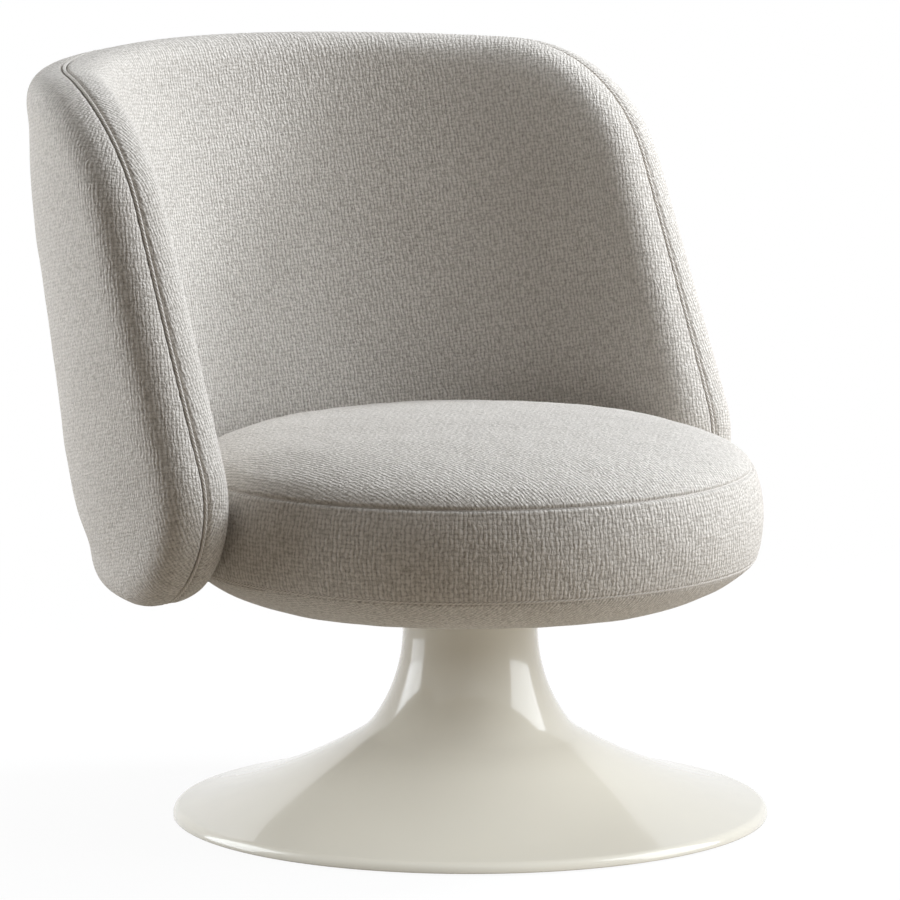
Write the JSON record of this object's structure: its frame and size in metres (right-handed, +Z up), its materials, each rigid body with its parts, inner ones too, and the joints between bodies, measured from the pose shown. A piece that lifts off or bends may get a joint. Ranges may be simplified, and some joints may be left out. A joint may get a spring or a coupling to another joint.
{
  "type": "swivel armchair",
  "caption": "Upholstered swivel armchair: round cushion seat inside a thick leaning wrap-around back with piped seams, turning on a lacquered trumpet base.",
  "frame": {"origin": "on the swivel axis at floor level", "axes": "+Z up along the swivel axis, +Y towards the back, -Y towards the open front"},
  "size_m": [0.7728, 0.7813, 0.7552],
  "materials": {
    "base_lacquer": "gloss cream lacquer",
    "upholstery": "warm grey basket weave",
    "welt_fabric": "bias-cut piping in the same weave",
    "foam": "open-cell upholstery foam",
    "plywood": "sanded birch plywood",
    "steel": "plain mild steel",
    "black_steel": "black powder coat",
    "bearing_steel": "ground bearing steel",
    "bearing_brass": "pressed brass",
    "bush_plastic": "natural nylon",
    "fastener_steel": "zinc-plated steel",
    "ring_rubber": "black rubber"
  },
  "bodies": {
    "base": {"trumpet_base": "base_lacquer", "base_plate": "steel", "floor_ring": "ring_rubber", "base_screws": "fastener_steel", "pedestal_column": "steel", "column_bolts": "fastener_steel", "upper_bush": "bush_plastic", "lower_bush": "bush_plastic", "lower_race": "bearing_steel", "ball_cage": "bearing_brass", "bearing_balls": "bearing_steel"},
    "seat": {"upper_race": "bearing_steel", "spindle": "bearing_steel", "retaining_washer": "fastener_steel", "spindle_circlip": "fastener_steel", "swivel_plate": "black_steel", "plate_bolts": "fastener_steel", "seat_tee_nuts": "fastener_steel", "seat_board": "plywood", "back_brackets": "black_steel", "bracket_bolts": "fastener_steel", "bracket_tee_nuts": "fastener_steel", "back_bolts": "fastener_steel", "back_tee_nuts": "fastener_steel", "seat_foam": "foam", "seat_top_panel": "upholstery", "seat_band": "upholstery", "seat_under_panel": "upholstery", "upper_seat_welt": "welt_fabric", "lower_seat_welt": "welt_fabric", "back_shell": "plywood", "back_inner_foam": "foam", "back_outer_foam": "foam", "back_inner_cover": "upholstery", "back_outer_cover": "upholstery", "back_welt": "welt_fabric"}
  },
  "joints": [
    {"name": "seat_swivel", "type": "hinge", "parent": "base", "child": "seat", "pos_m": [0, 0, 0.21], "axis": [0, 0, 1], "continuous": true}
  ]
}
